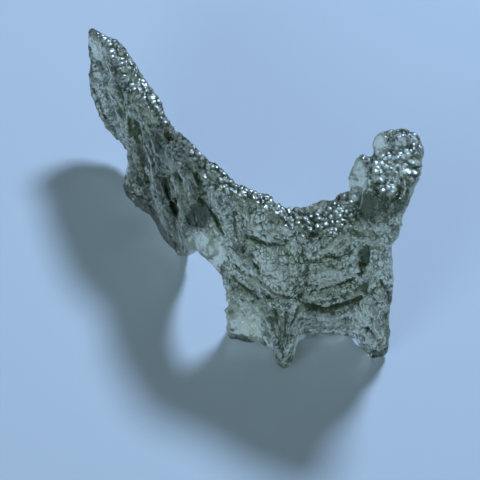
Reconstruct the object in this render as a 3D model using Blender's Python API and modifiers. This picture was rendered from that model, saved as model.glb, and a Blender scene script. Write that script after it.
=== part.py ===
"""Moldavite: a sculpted wing of natural green glass that stands on three low feet.

Blender 4.5, metres, +Z up, the broad panel facing -Y. One closed body: a folded sheet of glass about 3 mm
thick, lofted from hand-set sections, with a horn at its right end, fused by a voxel remesh and then carved
with the grooves, ledges, pits and lumps that the etching of the glass left.
"""

import math

import bmesh
import bpy
from mathutils import Vector, noise

MM = 0.001

NAME = "moldavite"

# ---------------------------------------------------------------------------------------------------------
# Driving dimensions, in millimetres. X runs right, Y back, Z up; zero is on the floor by the front feet.
# ---------------------------------------------------------------------------------------------------------

VOXEL = 0.27            # cell of the remesh that fuses the lofts into one skin
TRIANGLES = 9400        # size of the finished mesh
SMOOTH_PASSES = 2       # softening of the fused skin before it is carved
SOLE_CUT = 0.0          # the feet are ground flat at this height

# The sheet, from its right edge round the corner to the tip of the wing. Each section has the lower edge of
# the front face, the front rim of the crest, the back rim of the crest, the forward bow of the face at half
# height, and the thickness of the sheet at half height and at its lower edge.
SECTIONS = (
    # foot                    front rim               back rim               bow   belly  sole
    ((12.05, -0.70, 1.30), (12.25, 1.20, 16.30), (12.20, 2.90, 16.60), 0.10, 1.7, 1.0),
    ((11.45, -0.55, -0.20), (11.70, 0.56, 16.95), (11.60, 3.64, 17.67), 0.30, 2.8, 1.9),
    ((10.45, -0.60, -0.30), (10.60, 0.20, 17.35), (10.50, 3.98, 18.48), 0.30, 3.0, 2.2),
    ((9.75, 0.01, 0.50), (9.70, -0.02, 17.51), (9.50, 4.13, 18.88), 0.10, 3.0, 1.7),
    ((8.60, 1.86, 0.45), (8.60, -0.27, 17.71), (8.40, 4.17, 18.88), 0.70, 3.1, 1.3),
    ((7.00, 2.06, 0.40), (7.00, -0.26, 17.56), (6.90, 3.85, 18.04), 0.95, 3.2, 1.3),
    ((5.20, 1.76, 0.35), (5.20, -0.09, 16.99), (5.10, 3.83, 17.07), 0.95, 3.2, 1.4),
    ((4.10, 1.11, 0.30), (4.10, 0.53, 16.71), (4.00, 3.95, 16.68), 0.80, 3.2, 1.8),
    ((3.50, -0.92, 0.45), (3.30, 1.28, 16.77), (3.30, 3.78, 16.77), 0.30, 3.3, 1.9),
    ((2.65, -1.98, 0.35), (2.70, 2.13, 16.84), (2.50, 4.11, 16.86), 0.40, 3.4, 1.6),
    ((1.90, -1.24, 0.35), (2.00, 2.76, 16.92), (1.90, 4.45, 16.93), 0.60, 3.4, 1.7),
    ((1.00, 0.31, 0.25), (1.20, 3.29, 17.12), (1.00, 4.97, 17.14), 0.80, 3.3, 1.7),
    ((0.20, 1.16, 0.20), (0.30, 3.90, 17.22), (0.05, 5.38, 17.35), 0.80, 3.1, 1.7),
    ((-0.80, 1.40, -0.30), (-0.60, 4.18, 17.23), (-0.35, 5.58, 17.39), 0.70, 3.0, 2.2),
    ((-1.90, 1.70, -0.30), (-1.70, 4.71, 17.10), (-1.10, 5.96, 17.32), 0.60, 2.9, 2.3),
    ((-2.60, 2.11, 0.59), (-2.60, 5.11, 16.90), (-1.70, 6.41, 17.20), 0.40, 2.8, 1.8),
    ((-2.30, 2.50, 3.53), (-3.30, 5.65, 16.72), (-2.40, 7.08, 17.14), 0.30, 2.8, 1.3),
    ((-2.55, 2.74, 6.66), (-4.00, 6.42, 16.40), (-3.05, 8.00, 17.19), 0.30, 2.6, 1.0),
    ((-3.50, 3.47, 8.13), (-4.60, 7.57, 16.21), (-3.80, 8.99, 16.85), 0.30, 2.4, 0.9),
    ((-4.60, 4.94, 8.10), (-5.60, 9.10, 15.62), (-4.65, 9.92, 16.85), 0.20, 2.2, 0.9),
    ((-5.50, 6.42, 7.26), (-6.60, 10.70, 14.67), (-5.70, 11.28, 16.32), 0.10, 2.1, 0.9),
    ((-6.00, 7.80, 5.32), (-7.60, 12.44, 13.48), (-6.50, 13.06, 15.79), 0.10, 2.1, 1.0),
    ((-6.50, 10.15, 1.30), (-8.10, 13.91, 13.87), (-7.15, 14.18, 15.13), 0.10, 2.0, 1.1),
    ((-7.60, 11.90, -0.30), (-8.60, 14.88, 14.15), (-7.70, 15.12, 14.96), 0.10, 2.0, 1.6),
    ((-8.60, 13.70, -0.30), (-9.20, 16.31, 14.32), (-8.40, 16.69, 14.74), 0.10, 2.0, 1.8),
    ((-9.40, 15.90, -0.30), (-9.90, 17.67, 14.44), (-9.05, 18.58, 14.32), 0.10, 2.0, 1.9),
    ((-10.70, 17.20, -0.30), (-10.60, 19.03, 14.28), (-9.75, 19.85, 14.45), 0.10, 2.1, 1.9),
    ((-11.60, 18.80, -0.20), (-11.30, 20.12, 14.18), (-10.35, 21.06, 14.51), 0.10, 2.0, 1.8),
    ((-11.50, 19.64, 0.95), (-11.75, 20.92, 14.03), (-10.75, 21.97, 14.36), 0.10, 1.9, 1.7),
    ((-10.95, 20.45, 2.50), (-12.10, 21.68, 13.81), (-11.15, 22.68, 14.20), 0.10, 1.8, 1.5),
    ((-11.60, 21.40, 2.47), (-12.60, 23.00, 13.35), (-11.65, 23.86, 13.88), 0.10, 1.7, 1.1),
    ((-12.80, 22.62, 2.97), (-13.20, 24.60, 13.00), (-12.15, 25.44, 13.16), 0.10, 1.6, 1.0),
    ((-13.90, 23.87, 4.28), (-13.90, 25.99, 12.67), (-13.10, 26.73, 12.76), 0.00, 1.4, 0.9),
    ((-14.70, 24.81, 5.51), (-14.75, 26.85, 12.57), (-14.10, 27.63, 12.64), 0.00, 1.2, 0.9),
    ((-15.25, 25.43, 6.71), (-15.30, 27.58, 12.56), (-14.80, 28.22, 12.91), 0.00, 0.9, 0.8),
)

# The horn, a block that rises from the right end of the crest and overhangs the back. Each section, from
# front to back, has its distance back, then left, right and height of its underside, then those of its top.
HORN = (
    # back   left   right  under    left   right  top
    (0.35, 9.60, 12.60, 15.40, 9.90, 13.00, 20.60),
    (1.00, 9.10, 12.55, 15.00, 9.60, 13.85, 21.90),
    (2.20, 9.00, 12.55, 15.00, 9.60, 14.30, 22.20),
    (3.40, 9.10, 12.80, 15.60, 9.90, 14.80, 22.40),
    (4.60, 9.90, 13.20, 17.20, 10.50, 15.15, 22.60),
    (5.80, 11.10, 13.80, 19.30, 11.30, 15.30, 22.90),
    (6.90, 12.00, 14.20, 21.20, 11.90, 15.00, 23.10),
    (7.80, 12.40, 13.40, 22.40, 12.30, 13.90, 23.10),
)

# Two thin fins behind the left side of the horn. Each section has its left point, right point and thickness.
LOWER_FIN = (
    ((8.80, 4.20, 16.60), (10.60, 4.20, 16.60), 1.2),
    ((8.45, 5.00, 18.50), (10.60, 5.00, 18.50), 1.1),
    ((8.50, 5.50, 20.10), (10.80, 5.50, 20.20), 1.0),
    ((8.95, 5.80, 21.40), (10.50, 5.80, 21.50), 0.9),
)
UPPER_FIN = (
    ((10.90, 6.10, 20.00), (12.60, 6.10, 20.20), 1.1),
    ((10.45, 6.50, 21.30), (12.60, 6.40, 21.50), 1.0),
    ((10.65, 6.70, 22.60), (12.60, 6.60, 22.70), 1.0),
    ((11.30, 6.90, 23.50), (12.50, 6.90, 23.70), 0.9),
)

SHEET_STEPS = 3         # rings added between two sections of the sheet
BLADE_STEPS = 4         # rings added between two sections of the horn or a fin
FACE_POINTS = 14        # points up each face of the sheet
BLADE_POINTS = 24       # points round the horn or a fin
BLOCK_SQUARE = 0.6      # how square the corners of the horn are, from 1 for an oval to 0 for a box
FIN_SQUARE = 0.8        # the same for the fins
SHARP_ANGLE = 50.0      # creases steeper than this, in degrees, stay sharp in the shading


def catmull_rom(values, steps):
    """Returns points on a smooth curve through equal-length vectors, with steps - 1 added in each gap."""
    last = len(values) - 1
    points = []
    for index in range(last):
        before = values[max(index - 1, 0)]
        start = values[index]
        end = values[index + 1]
        after = values[min(index + 2, last)]
        for step in range(steps):
            t = step / steps
            points.append([
                0.5 * (2 * b + (c - a) * t + (2 * a - 5 * b + 4 * c - d) * t * t
                       + (3 * b - a - 3 * c + d) * t * t * t)
                for a, b, c, d in zip(before, start, end, after)
            ])
    points.append(list(values[last]))
    return points


def sheet_ring(values):
    """Returns the closed cross-section of the sheet at one section, up the front face and down the back."""
    foot = Vector(values[0:3])
    rim = Vector(values[3:6])
    back = Vector(values[6:9])
    bow, belly, sole = values[9:12]
    inward = Vector((back.x - rim.x, back.y - rim.y, 0.0)).normalized()
    crest = Vector((back.x - rim.x, back.y - rim.y, 0.0)).length
    heel = foot + inward * sole
    swell = belly - (crest + sole) / 2
    ring = []
    for index in range(FACE_POINTS):
        f = index / (FACE_POINTS - 1)
        ring.append(foot.lerp(rim, f) - inward * (bow * 4 * f * (1 - f)))
    for index in range(FACE_POINTS):
        f = 1 - index / (FACE_POINTS - 1)
        ring.append(heel.lerp(back, f) + inward * ((swell - bow) * 4 * f * (1 - f)))
    return ring


def squared(value, power):
    """Returns a sine or cosine raised to a power with its sign kept, which squares off an oval."""
    return math.copysign(abs(value) ** power, value)


def block_rings(sections):
    """Returns the rounded four-sided cross-sections of the horn, one behind the other."""
    rings = []
    for back, left0, right0, under, left1, right1, top in catmull_rom(sections, BLADE_STEPS):
        ring = []
        for point in range(BLADE_POINTS):
            angle = 2 * math.pi * point / BLADE_POINTS
            across = (squared(math.cos(angle), BLOCK_SQUARE) + 1) / 2
            up = (squared(math.sin(angle), BLOCK_SQUARE) + 1) / 2
            left = left0 + (left1 - left0) * up
            right = right0 + (right1 - right0) * up
            ring.append(Vector((left + (right - left) * across, back, under + (top - under) * up)))
        rings.append(ring)
    return rings


def blade_rings(sections):
    """Returns the oval cross-sections of a fin, each across its left-to-right line."""
    rows = catmull_rom([(*left, *right, thick) for left, right, thick in sections], BLADE_STEPS)
    centres = [(Vector(row[0:3]) + Vector(row[3:6])) / 2 for row in rows]
    rings = []
    for index, row in enumerate(rows):
        half = (Vector(row[3:6]) - Vector(row[0:3])) / 2
        rise = centres[min(index + 1, len(rows) - 1)] - centres[max(index - 1, 0)]
        depth = half.cross(rise).normalized() * (row[6] / 2)
        ring = []
        for point in range(BLADE_POINTS):
            angle = 2 * math.pi * point / BLADE_POINTS
            across = squared(math.cos(angle), FIN_SQUARE)
            through = squared(math.sin(angle), FIN_SQUARE)
            ring.append(centres[index] + half * across + depth * through)
        rings.append(ring)
    return rings


def loft(mesh, rings):
    """Adds a closed tube through the rings, with a fan of triangles over each end."""
    rows = [[mesh.verts.new(point * MM) for point in ring] for ring in rings]
    count = len(rows[0])
    made = []
    for low, high in zip(rows, rows[1:]):
        for index in range(count):
            after = (index + 1) % count
            made.append(mesh.faces.new((low[index], low[after], high[after], high[index])))
    for row in (rows[0], rows[-1]):
        middle = mesh.verts.new(sum((vert.co for vert in row), Vector()) / count)
        for index in range(count):
            made.append(mesh.faces.new((row[index], row[(index + 1) % count], middle)))
    bmesh.ops.recalc_face_normals(mesh, faces=made)


# ---------------------------------------------------------------------------------------------------------
# Carving. Places on the skin of the front are given as they lie in an oblique view from above: the distance
# across, and the height up the drawing, in millimetres.
# ---------------------------------------------------------------------------------------------------------

VIEW_TILT = math.radians(52.0)
VIEW_UP = Vector((0.0, math.sin(VIEW_TILT), math.cos(VIEW_TILT)))
VIEW_DIR = Vector((0.0, -math.cos(VIEW_TILT), math.sin(VIEW_TILT)))
FRONT_FACING = 0.05     # skin turned towards the view by more than this takes the lines and spots
BACK_FACING = 0.1       # skin turned away from it by more than this takes the flutes
LINE_REACH = 1.5        # how far a line's slope runs out, in widths of the line
SPOT_REACH = 1.4        # how far a spot's slope runs out, in half sizes of the spot

# Lines cut into the skin (negative) or raised on it: width, depth, then the points of the line.
LINES = (
    # ledges and grooves of the front panel
    (0.50, -0.75, ((4.2, 4.6), (5.5, 4.5), (7.0, 4.3), (8.0, 4.6), (9.3, 4.8))),
    (0.45, 0.45, ((4.7, 5.4), (5.6, 5.4), (6.8, 5.3), (8.0, 5.5), (9.2, 5.7))),
    (0.30, -0.45, ((5.0, 6.1), (5.6, 5.85), (6.9, 5.95), (7.8, 6.4), (8.8, 6.6))),
    (0.30, -0.45, ((0.9, 6.5), (1.7, 5.4), (2.9, 5.1), (3.4, 5.2))),
    (0.40, 0.35, ((0.9, 4.9), (2.2, 4.7), (3.3, 4.5))),
    (0.30, -0.40, ((1.2, 4.3), (2.3, 4.0), (3.3, 4.0), (4.4, 4.2))),
    (0.35, -0.50, ((4.3, 9.3), (4.6, 8.2), (4.7, 7.0), (4.5, 6.0), (4.1, 5.2))),
    (0.28, -0.40, ((5.0, 8.4), (5.8, 8.6), (6.6, 8.9), (7.8, 9.1), (8.5, 9.4))),
    (0.25, -0.35, ((4.6, 9.6), (5.2, 9.4), (5.7, 9.9), (6.1, 10.4))),
    (0.25, -0.30, ((5.9, 9.1), (6.6, 9.4), (7.0, 9.9))),
    (0.30, -0.40, ((0.2, 10.3), (0.8, 9.8), (1.6, 10.0), (2.9, 9.8))),
    (0.25, -0.35, ((3.0, 12.2), (3.6, 11.4), (4.3, 10.9))),
    (0.28, -0.35, ((3.4, 6.9), (3.1, 6.2), (3.0, 5.3))),
    (0.30, 0.30, ((9.1, 10.6), (10.0, 10.7), (10.8, 10.5))),
    (0.35, -0.40, ((9.3, 10.1), (10.4, 10.1), (11.2, 9.7))),
    (0.30, -0.35, ((9.2, 6.6), (9.5, 5.6), (9.4, 4.6), (9.7, 3.4), (10.1, 2.2))),
    (0.40, 0.40, ((10.2, 5.0), (10.2, 3.8), (10.7, 2.6), (11.2, 1.4))),
    (0.28, -0.35, ((10.6, 6.0), (11.0, 4.8), (11.4, 3.6), (11.6, 2.4))),
    (0.25, 0.35, ((10.2, 12.0), (11.0, 12.4), (11.7, 12.7))),
    (0.28, -0.50, ((11.5, 17.7), (12.3, 17.45), (13.0, 17.4), (13.7, 17.6))),
    (0.25, -0.40, ((12.9, 17.2), (12.85, 16.2), (12.8, 15.2), (12.9, 14.3))),
    # the corner and the left part of the panel
    (0.30, -0.40, ((-2.8, 14.0), (-2.4, 13.3), (-2.0, 12.3), (-1.6, 11.2), (-1.3, 10.1))),
    (0.28, -0.30, ((-1.2, 13.8), (-1.1, 12.6), (-0.6, 11.4), (-0.2, 10.4))),
    (0.28, -0.30, ((-2.3, 7.3), (-1.4, 6.4), (-0.2, 5.4), (0.8, 4.5))),
    (0.25, -0.25, ((-1.4, 8.0), (-0.6, 7.0), (0.2, 6.2))),
    (0.28, 0.25, ((-2.0, 6.2), (-1.2, 5.2), (-0.4, 4.8))),
    (0.30, -0.30, ((0.4, 3.6), (0.9, 2.6), (1.1, 1.6))),
    (0.28, -0.30, ((2.0, 3.9), (1.9, 2.8), (1.6, 1.8))),
    # lengthwise grooves and ridges of the wing
    (0.42, -0.65, ((-8.1, 16.1), (-8.0, 15.0), (-7.6, 14.0), (-7.1, 13.1), (-6.8, 12.3))),
    (0.28, -0.45, ((-7.5, 17.6), (-7.0, 16.3), (-6.4, 15.2), (-5.9, 14.2))),
    (0.28, -0.45, ((-5.4, 16.4), (-5.1, 15.6), (-4.8, 14.6), (-4.3, 13.5), (-3.7, 12.7), (-3.1, 11.7))),
    (0.25, 0.35, ((-7.8, 18.2), (-7.4, 16.9), (-6.8, 15.7), (-6.1, 14.6), (-5.4, 13.8))),
    (0.25, 0.30, ((-6.3, 16.9), (-5.7, 15.9), (-5.2, 14.9), (-4.7, 14.0))),
    (0.35, -0.45, ((-12.3, 24.5), (-12.0, 23.3), (-11.6, 22.2), (-11.3, 21.0), (-11.2, 19.8))),
    (0.28, 0.35, ((-12.2, 22.4), (-11.9, 21.2), (-11.5, 20.2), (-11.2, 19.2))),
    (0.28, 0.35, ((-11.0, 23.7), (-10.9, 22.4), (-10.9, 21.2))),
    (0.40, -0.45, ((-10.8, 21.2), (-10.8, 19.8), (-10.5, 18.4), (-10.0, 17.0), (-9.8, 15.6))),
    (0.28, 0.35, ((-10.1, 22.4), (-9.9, 21.3), (-9.4, 20.5), (-9.0, 19.4), (-8.6, 18.2))),
    (0.35, -0.40, ((-9.8, 20.4), (-9.6, 19.0), (-9.3, 17.6), (-9.0, 16.4))),
    (0.28, 0.30, ((-8.9, 16.6), (-8.6, 15.2), (-8.2, 13.9), (-7.6, 12.7))),
    (0.35, -0.35, ((-13.9, 27.4), (-13.7, 26.0), (-13.4, 24.6), (-13.2, 23.2))),
    (0.28, 0.30, ((-13.0, 27.2), (-12.8, 25.8), (-12.7, 24.2), (-12.9, 22.8))),
)

# Rounded hollows (negative) and lumps: place, half width, half height, depth.
SPOTS = (
    (9.55, 8.5, 0.50, 1.25, -1.30),
    (9.90, 9.6, 0.60, 0.60, -0.50),
    (0.45, 8.0, 0.40, 0.28, -0.60),
    (5.20, 11.0, 0.75, 0.45, -0.55),
    (4.00, 5.1, 0.75, 0.50, -0.80),
    (7.40, 4.6, 1.10, 0.45, -0.55),
    (2.20, 7.4, 1.60, 2.00, 0.45),
    (6.60, 7.5, 1.60, 1.00, 0.40),
    (6.80, 9.8, 1.40, 0.60, 0.25),
    (2.60, 0.3, 0.80, 1.60, 0.25),
    (-0.90, 2.1, 0.90, 0.80, 0.30),
    (-4.60, 9.8, 1.30, 1.00, 0.45),
    (-5.20, 13.0, 0.70, 0.90, -0.50),
    (-7.80, 19.8, 0.55, 0.65, -0.80),
    (-10.90, 15.2, 0.80, 1.00, 0.30),
    (-14.60, 25.3, 0.60, 0.80, 0.30),
    (11.00, 12.4, 1.50, 0.90, -0.35),
    (12.35, 4.9, 0.50, 0.60, 0.30),
    (12.20, 2.0, 0.40, 0.50, 0.30),
    # the bubbly cups of the horn's face
    (10.50, 16.0, 0.36, 0.30, -0.36),
    (11.40, 16.5, 0.40, 0.32, -0.40),
    (12.30, 17.1, 0.38, 0.30, -0.36),
    (10.50, 15.0, 0.40, 0.30, -0.36),
    (11.40, 15.3, 0.42, 0.32, -0.40),
    (12.30, 15.9, 0.42, 0.34, -0.40),
    (13.40, 16.8, 0.40, 0.32, -0.36),
    (13.60, 15.7, 0.42, 0.30, -0.36),
    (14.30, 17.5, 0.38, 0.32, -0.36),
    (12.50, 18.3, 0.60, 0.45, -0.36),
    (13.30, 19.0, 0.45, 0.35, -0.32),
    (12.00, 14.4, 0.40, 0.28, -0.32),
)

# Weathered roughness of the whole skin: size of the lumps and how far they move it.
BROAD_LUMP = 3.2
BROAD_HEIGHT = 0.32
BROAD_SEED = Vector((3.1, 7.7, 1.3))
FINE_LUMP = 1.30
FINE_HEIGHT = 0.15
FINE_MEAN = 0.6         # the ridged noise's usual value, taken off so that the skin stays where it is
FINE_SEED = Vector((9.2, 0.4, 5.8))
BACK_FLUTE = 1.5        # spacing of the shallow flutes down the back
BACK_DEPTH = 0.22
FLUTE_ACROSS = 0.8      # how strongly the flutes follow X, and then Y
FLUTE_BACK = 0.5
FLUTE_BEND = 2.0        # how far they wander, in radians, over lumps of the next size
FLUTE_LUMP = 4.0
CUP_SIZE = 1.25         # spacing of the cups on what faces up
CUP_DEPTH = 0.26
CUP_RADIUS = 0.62       # radius of a cup, in spacings
CUP_SLOPE = 0.45        # how level the skin must be to have them, as the cosine of its tilt


def bell(distance):
    """Returns 1 at no distance, falling smoothly to 0 at a distance of 1."""
    if distance >= 1.0:
        return 0.0
    return (1.0 - distance * distance) ** 2


def line_distance(u, v, points):
    """Returns the distance in the drawing from a place to a line through points."""
    best = 1.0e9
    for (u0, v0), (u1, v1) in zip(points, points[1:]):
        du = u1 - u0
        dv = v1 - v0
        t = ((u - u0) * du + (v - v0) * dv) / (du * du + dv * dv)
        t = min(max(t, 0.0), 1.0)
        best = min(best, math.hypot(u - u0 - du * t, v - v0 - dv * t))
    return best


def carve(point, normal):
    """Returns how far a place on the skin moves along its normal, in millimetres."""
    move = BROAD_HEIGHT * noise.noise(point / BROAD_LUMP + BROAD_SEED)
    ridged = 1.0 - 2.0 * abs(noise.noise(point / FINE_LUMP + FINE_SEED))
    move += FINE_HEIGHT * (ridged - FINE_MEAN)
    if normal.z > CUP_SLOPE:
        nearest = noise.voronoi(point / CUP_SIZE)[0][0]
        move -= CUP_DEPTH * bell(nearest / CUP_RADIUS) * min(1.0, (normal.z - CUP_SLOPE) * 4)
    facing = normal.dot(VIEW_DIR)
    if facing < -BACK_FACING:
        turns = (point.x * FLUTE_ACROSS + point.y * FLUTE_BACK) / BACK_FLUTE
        flute = math.sin(2 * math.pi * turns + FLUTE_BEND * noise.noise(point / FLUTE_LUMP))
        move += BACK_DEPTH * flute * min(1.0, -facing * 2)
    if facing > FRONT_FACING:
        u = point.x
        v = point.dot(VIEW_UP)
        strength = min(1.0, facing * 4)
        for width, depth, points in LINES:
            move += strength * depth * bell(line_distance(u, v, points) / (width * LINE_REACH))
        for across, up, half_width, half_height, depth in SPOTS:
            away = math.hypot((u - across) / half_width, (v - up) / half_height)
            move += strength * depth * bell(away / SPOT_REACH)
    return move


def mesh_object(name, mesh, collection):
    """Makes an object from a bmesh, which is freed."""
    data = bpy.data.meshes.new(name)
    mesh.to_mesh(data)
    mesh.free()
    made = bpy.data.objects.new(name, data)
    collection.objects.link(made)
    return made


def apply_modifiers(made):
    """Replaces an object's mesh with what its modifiers make of it."""
    bpy.context.view_layer.update()
    graph = bpy.context.evaluated_depsgraph_get()
    data = bpy.data.meshes.new_from_object(made.evaluated_get(graph))
    old = made.data
    made.modifiers.clear()
    made.data = data
    bpy.data.meshes.remove(old)


def glass_material():
    """Returns the grey-green glass."""
    material = bpy.data.materials.new("moldavite_glass")
    material.use_nodes = True
    shader = material.node_tree.nodes["Principled BSDF"]
    shader.inputs["Base Color"].default_value = (0.62, 0.74, 0.62, 1.0)
    shader.inputs["Roughness"].default_value = 0.12
    shader.inputs["Metallic"].default_value = 0.0
    shader.inputs["IOR"].default_value = 1.49
    shader.inputs["Transmission Weight"].default_value = 1.0
    return material


def keep_largest_shell(mesh):
    """Deletes every shell of a bmesh but the one with the most vertices."""
    left = set(mesh.verts)
    shells = []
    while left:
        seed = left.pop()
        shell = {seed}
        front = [seed]
        while front:
            for edge in front.pop().link_edges:
                for vert in edge.verts:
                    if vert in left:
                        left.remove(vert)
                        shell.add(vert)
                        front.append(vert)
        shells.append(shell)
    shells.sort(key=len)
    for shell in shells[:-1]:
        bmesh.ops.delete(mesh, geom=list(shell), context="VERTS")


def grind_feet(mesh):
    """Cuts the feet flat on the floor and closes them."""
    cut = bmesh.ops.bisect_plane(
        mesh,
        geom=mesh.verts[:] + mesh.edges[:] + mesh.faces[:],
        dist=1.0e-7,
        plane_co=(0.0, 0.0, SOLE_CUT * MM),
        plane_no=(0.0, 0.0, 1.0),
        clear_inner=True,
    )
    rim = [item for item in cut["geom_cut"] if isinstance(item, bmesh.types.BMEdge)]
    for vert in {vert for edge in rim for vert in edge.verts}:
        vert.co.z = SOLE_CUT * MM
    bmesh.ops.holes_fill(mesh, edges=rim, sides=0)
    bmesh.ops.recalc_face_normals(mesh, faces=mesh.faces[:])


def build(collection):
    """Builds the piece and returns its object."""
    mesh = bmesh.new()
    rows = catmull_rom([(*s[0], *s[1], *s[2], *s[3:]) for s in SECTIONS], SHEET_STEPS)
    loft(mesh, [sheet_ring(row) for row in rows])
    loft(mesh, block_rings(HORN))
    for blade in (LOWER_FIN, UPPER_FIN):
        loft(mesh, blade_rings(blade))
    made = mesh_object(NAME, mesh, collection)

    fuse = made.modifiers.new("fuse", "REMESH")
    fuse.mode = "VOXEL"
    fuse.voxel_size = VOXEL * MM
    soften = made.modifiers.new("soften", "SMOOTH")
    soften.factor = 0.5
    soften.iterations = SMOOTH_PASSES
    apply_modifiers(made)

    mesh = bmesh.new()
    mesh.from_mesh(made.data)
    mesh.normal_update()
    moved = [vert.co + vert.normal * (carve(vert.co / MM, vert.normal) * MM) for vert in mesh.verts]
    for vert, place in zip(mesh.verts, moved):
        vert.co = place
    mesh.to_mesh(made.data)
    mesh.free()

    thin = made.modifiers.new("thin", "DECIMATE")
    thin.ratio = TRIANGLES / (2 * len(made.data.polygons))
    thin.use_collapse_triangulate = True
    apply_modifiers(made)

    mesh = bmesh.new()
    mesh.from_mesh(made.data)
    grind_feet(mesh)
    keep_largest_shell(mesh)
    low = Vector([min(vert.co[axis] for vert in mesh.verts) for axis in range(3)])
    high = Vector([max(vert.co[axis] for vert in mesh.verts) for axis in range(3)])
    bmesh.ops.translate(mesh, verts=mesh.verts[:], vec=(-(low.x + high.x) / 2, -(low.y + high.y) / 2, -low.z))
    mesh.to_mesh(made.data)
    mesh.free()
    made.data.shade_smooth()
    made.data.set_sharp_from_angle(angle=math.radians(SHARP_ANGLE))
    made.data.materials.clear()
    made.data.materials.append(glass_material())
    return made


def main():
    """Clears the scene and builds the moldavite in its own collection."""
    for old in list(bpy.data.objects):
        bpy.data.objects.remove(old, do_unlink=True)
    collection = bpy.data.collections.new(NAME)
    bpy.context.scene.collection.children.link(collection)
    build(collection)


main()
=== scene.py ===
"""Looks of the moldavite: a folded, deeply etched sheet of natural green glass on a plain pale floor.

The glass is a finer skin grown over the fixed solid. Listed ledges, grooves and pits are cut into it, and
it is combed with the fine fibres that the etching left. Geometry Nodes press cups into what faces up, and
pits and soft lumps into the rest.
"""

import logging
import math
from dataclasses import dataclass, field, fields
from enum import Enum

import bmesh
import bpy
import numpy as np
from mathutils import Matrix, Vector


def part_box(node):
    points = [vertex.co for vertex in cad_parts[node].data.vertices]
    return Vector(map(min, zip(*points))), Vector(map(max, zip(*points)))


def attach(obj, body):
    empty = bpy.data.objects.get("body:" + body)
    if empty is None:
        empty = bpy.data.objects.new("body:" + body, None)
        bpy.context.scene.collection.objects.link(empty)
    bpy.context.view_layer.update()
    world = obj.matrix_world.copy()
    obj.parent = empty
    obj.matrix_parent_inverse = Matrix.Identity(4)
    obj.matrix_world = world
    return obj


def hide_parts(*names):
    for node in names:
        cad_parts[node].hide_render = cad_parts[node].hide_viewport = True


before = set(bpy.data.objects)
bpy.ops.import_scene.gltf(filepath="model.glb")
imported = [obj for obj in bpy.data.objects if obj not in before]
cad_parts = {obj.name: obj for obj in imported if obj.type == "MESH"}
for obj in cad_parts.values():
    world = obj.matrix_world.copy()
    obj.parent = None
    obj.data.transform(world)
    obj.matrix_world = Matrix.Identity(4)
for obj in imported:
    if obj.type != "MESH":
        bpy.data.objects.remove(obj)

Array = np.ndarray
Object = bpy.types.Object
Socket = bpy.types.NodeSocket
Value = Socket | float | tuple[float, ...]
Triple = tuple[float, float, float]
Colour = tuple[float, float, float, float]

MM = 0.001
NODE = "moldavite"
GLASS_SLOT = "moldavite_glass"
LOG = logging.getLogger("moldavite")
LEVEL = (0.19, -0.06, 0.98)         # what the treads of the cups face
ACROSS = (1.0, 0.0, 0.0)            # direction that stands for across in the drawing
FAR = 1.0e9
TINY = 1.0e-9
# Points of the solid closer than this are one, and the least that the strokes weigh together anywhere.
WELD, LEAST_WEIGHT = 1.0e-6, 1.0e-6
# How flat the middle of a hollow is, and how much more hidden skin is thinned.
HOLLOW_BEND, THIN_MORE = 1.5, 4.0

# Lines: run of a ledge's top and foot, depth of its foot, and how far lines reach, in widths or heights.
LEDGE_TOP, LEDGE_FOOT, LEDGE_DROP = 2.5, 0.8, 0.55
LEDGE_REACH, LINE_REACH = 8.0, 1.0

# How fast skin comes to show in the drawing, and a band's cups come inside its edge.
FACING_GAIN, BAND_GAIN = 4.0, 3.0
# How level skin must be to have cups without a band, and how fast they come.
CUP_LEVEL, CUP_GAIN = 0.86, 8.0
# Section of the fibres where cracks part them: level, depth, bend and the lowest grain that counts.
CRACK_LEVEL, CRACK_DROP, CRACK_BEND, CRACK_LOW = 0.75, 0.55, 0.95, -1.6
# Section where they stand up as ridges: height, bend and how far it is sunk.
RIDGE_HEIGHT, RIDGE_BEND, RIDGE_SINK = 0.55, 0.85, 0.85
# Where the rim starts, and how fast it comes, as skin turns edge on.
RIM_START, RIM_GAIN = 1.2, 3.0
# Share of the fibres worn off by gloss and along the rim, and the share left on hidden skin.
GLOSS_WEAR, RIM_WEAR, HIDDEN_GRAIN = 0.95, 0.65, 0.4
# Painted shade: its level on plain skin, how much darker the grooves, pits and fibre cracks paint it, the
# painted light of the rim, and the share of the painted shade kept on hidden skin.
PLAIN_SHADE, FORM_SHADE, GRAIN_SHADE, RIM_PAINTED_LIGHT, HIDDEN_SHADE = 0.84, 1.8, 2.2, 0.25, 0.35
# Skin that shows less than this is thinned out more.
THIN_BELOW = 0.5

# Fibres: spacing of their wander in millimetres, what counts as hidden, and their way and ridges there.
WANDER_SPACING, HIDDEN_BELOW = 0.8, 0.05
HIDDEN_WAY, HIDDEN_RIDGE = (0.25, 0.15, -1.0), 0.5
GRAIN_LIMIT = 2.4
NOISE_SIDE = 64

# Where these come in: tint, painted shade between cups, a block, faint cracks, broken ridges, and ridges for
# blocks.
TINT, CREASE, CELL_EDGE = (0.05, 0.66), (0.34, 0.62), (0.02, 0.13)
FAINT, BROKEN, RIDGED = (0.38, 0.54), (0.30, 0.50), (0.05, 0.7)
# Scales of noise, per metre, and their detail: sway of the blocks, faint cracks, broken ridges, finest grain.
SWAY_SCALE, FAINT_SCALE, BROKEN_SCALE, DUST_SCALE = 1600.0, 1000.0, 700.0, 5200.0
SWAY_DETAIL, DUST_DETAIL = 2.0, 3.0
# Numbers of the two colour inputs of a Mix node.
MIX_FIRST, MIX_SECOND = 6, 7
# Scatter of the blocks, and least strength of a block along a crack and of a faint crack.
CELL_SCATTER, CELL_ALONG, FAINTEST = 0.9, 0.45, 0.38
# Weight of cracks between ridges, height of ridges, height that leaves the tint alone, the painted shade of
# the cracks and the grain.
CRACK_SHARE, RIDGE_LEVEL, LINE_LEVEL, CRACK_PAINTED_SHADE, DUST = 0.35, 0.9, 0.80, 1.20, 0.25
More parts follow.
